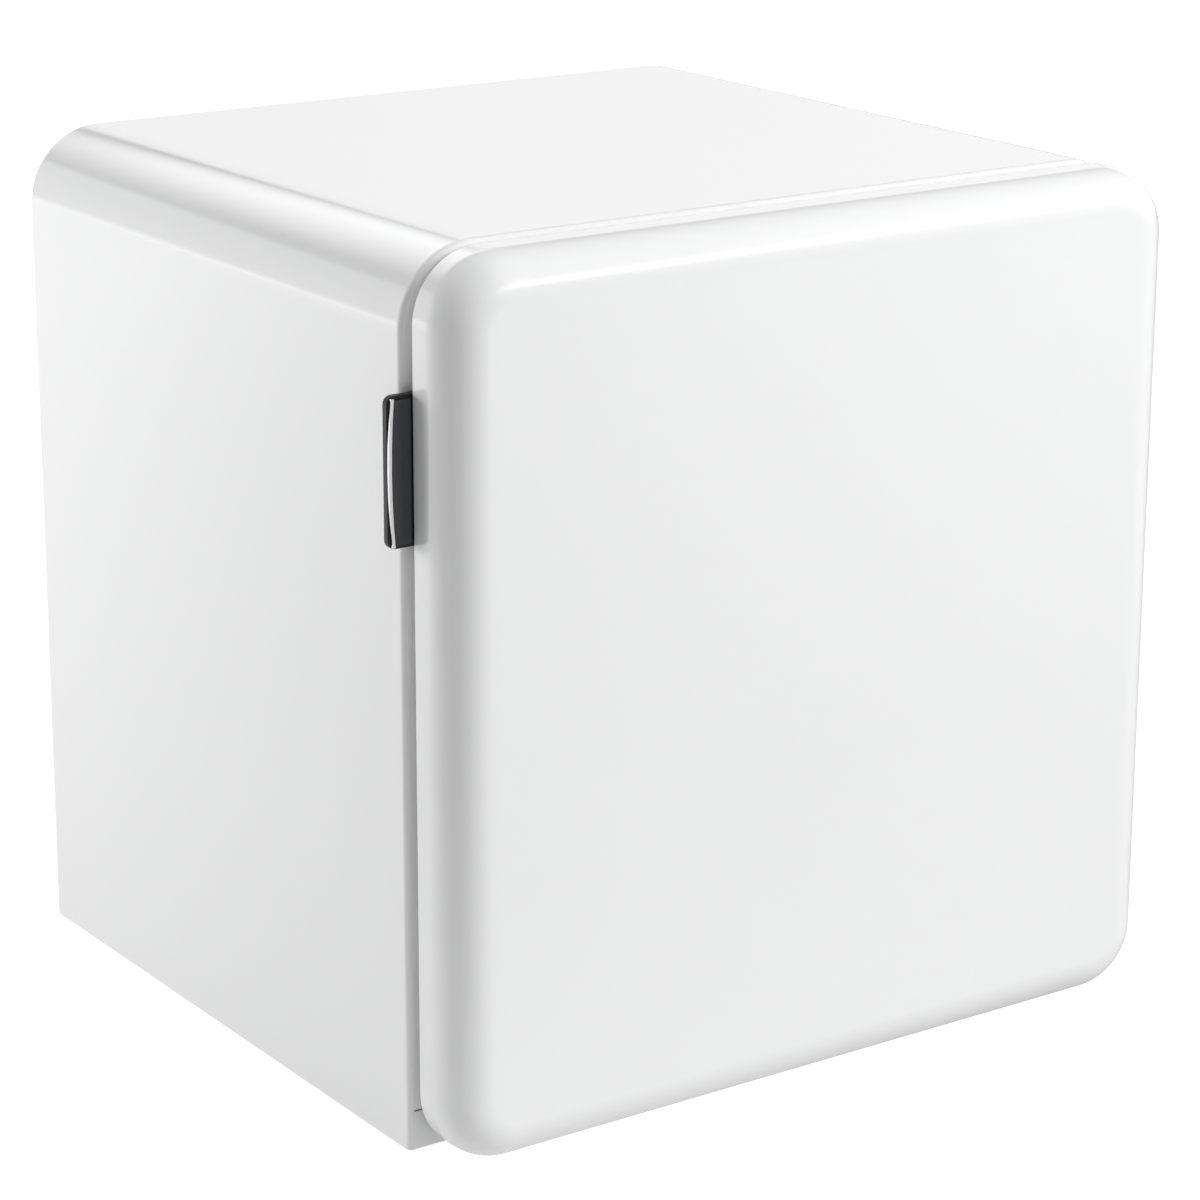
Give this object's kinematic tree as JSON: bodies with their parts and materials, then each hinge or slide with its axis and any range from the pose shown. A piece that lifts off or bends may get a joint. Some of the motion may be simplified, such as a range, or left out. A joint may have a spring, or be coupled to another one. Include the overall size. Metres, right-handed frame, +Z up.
{
  "type": "mini fridge",
  "caption": "Table-top mini fridge: round-shouldered white cabinet with a pillow-shaped hinged door, side grip, ice box, racks and a coil at the back.",
  "frame": {"origin": "centre of the whole object's box, at floor level under the feet", "axes": "+Z up, door side towards -Y, hinge side towards +X"},
  "size_m": [0.4512, 0.4332, 0.454],
  "materials": {
    "white_paint": "gloss",
    "white_plastic": "satin",
    "clear_plastic": "gloss",
    "black_plastic": "satin",
    "slate_plastic": "satin",
    "black_rubber": "matte",
    "pale_rubber": "satin",
    "insulation_foam": "matte",
    "bright_chrome": "polished",
    "rolled_aluminium": "satin",
    "zinc_steel": "satin",
    "black_paint": "satin",
    "copper_pipe": "satin",
    "magnet_strip": "matte"
  },
  "bodies": {
    "cabinet": {"cabinet_shell": "white_paint", "front_bottom_bar": "white_paint", "bottom_plate": "zinc_steel", "rear_panel": "white_paint", "inner_liner": "white_plastic", "cabinet_foam": "insulation_foam", "evaporator": "rolled_aluminium", "evaporator_hanger": "white_plastic", "ice_box_frame": "white_plastic", "tray_rail_left": "white_plastic", "tray_rail_right": "white_plastic", "shelf": "white_plastic", "thermostat_housing": "white_plastic", "thermostat_control": "zinc_steel", "hinge_bracket_lower": "zinc_steel", "hinge_pin_lower": "zinc_steel", "hinge_screw_lower_1": "zinc_steel", "hinge_screw_lower_2": "zinc_steel", "hinge_bracket_upper": "zinc_steel", "hinge_pin_upper": "zinc_steel", "hinge_screw_upper_1": "zinc_steel", "hinge_screw_upper_2": "zinc_steel", "compressor_base": "zinc_steel", "compressor_grommet_1": "black_rubber", "compressor_grommet_2": "black_rubber", "compressor_grommet_3": "black_rubber", "compressor_grommet_4": "black_rubber", "compressor": "black_paint", "terminal_cover": "black_plastic", "evaporation_pan": "black_plastic", "drain_spout": "white_plastic", "condenser": "black_paint", "condenser_bracket_left": "black_plastic", "condenser_bracket_right": "black_plastic", "discharge_pipe": "copper_pipe", "suction_pipe": "copper_pipe", "filter_dryer": "copper_pipe", "capillary_pipe": "copper_pipe", "cord_clamp": "black_plastic", "rear_foot_left": "black_plastic", "rear_foot_right": "black_plastic"},
    "door": {"door_shell": "white_paint", "door_foam": "insulation_foam", "door_liner": "white_plastic", "door_gasket": "pale_rubber", "gasket_magnet": "magnet_strip", "hinge_bush_lower": "black_plastic", "hinge_bush_upper": "black_plastic", "handle_base": "black_plastic", "handle_grip": "slate_plastic", "handle_trim": "bright_chrome", "handle_screw_1": "zinc_steel", "handle_screw_2": "zinc_steel"},
    "lower_rack": {"lower_rack": "clear_plastic"},
    "upper_rack": {"upper_rack": "clear_plastic"},
    "freezer_flap": {"freezer_flap": "clear_plastic"},
    "drip_tray": {"drip_tray": "clear_plastic"},
    "thermostat_knob": {"thermostat_knob": "white_plastic"},
    "front_foot_left": {"front_foot_left": "black_plastic"},
    "front_foot_right": {"front_foot_right": "black_plastic"}
  },
  "joints": [
    {"name": "door_hinge", "type": "hinge", "parent": "cabinet", "child": "door", "pos_m": [0.21465, -0.19515, 0.231], "axis": [0, 0, 1], "range_deg": [0, 115]},
    {"name": "lower_rack_lift", "type": "slide", "parent": "door", "child": "lower_rack", "axis": [0, 0, 1], "range_m": [0, 0.022]},
    {"name": "upper_rack_lift", "type": "slide", "parent": "door", "child": "upper_rack", "axis": [0, 0, 1], "range_m": [0, 0.022]},
    {"name": "freezer_flap_hinge", "type": "hinge", "parent": "cabinet", "child": "freezer_flap", "pos_m": [-0.01635, -0.04245, 0.3995], "axis": [-1, 0, 0], "range_deg": [0, 85]},
    {"name": "drip_tray_slide", "type": "slide", "parent": "cabinet", "child": "drip_tray", "axis": [0, -1, 0], "range_m": [0, 0.1]},
    {"name": "thermostat_knob_turn", "type": "hinge", "parent": "cabinet", "child": "thermostat_knob", "pos_m": [0.17435, -0.05715, 0.371], "axis": [0, 1, 0], "range_deg": [0, 270]},
    {"name": "front_foot_left_adjust", "type": "slide", "parent": "cabinet", "child": "front_foot_left", "axis": [0, 0, -1], "range_m": [0, 0.008]},
    {"name": "front_foot_right_adjust", "type": "slide", "parent": "cabinet", "child": "front_foot_right", "axis": [0, 0, -1], "range_m": [0, 0.008]}
  ]
}
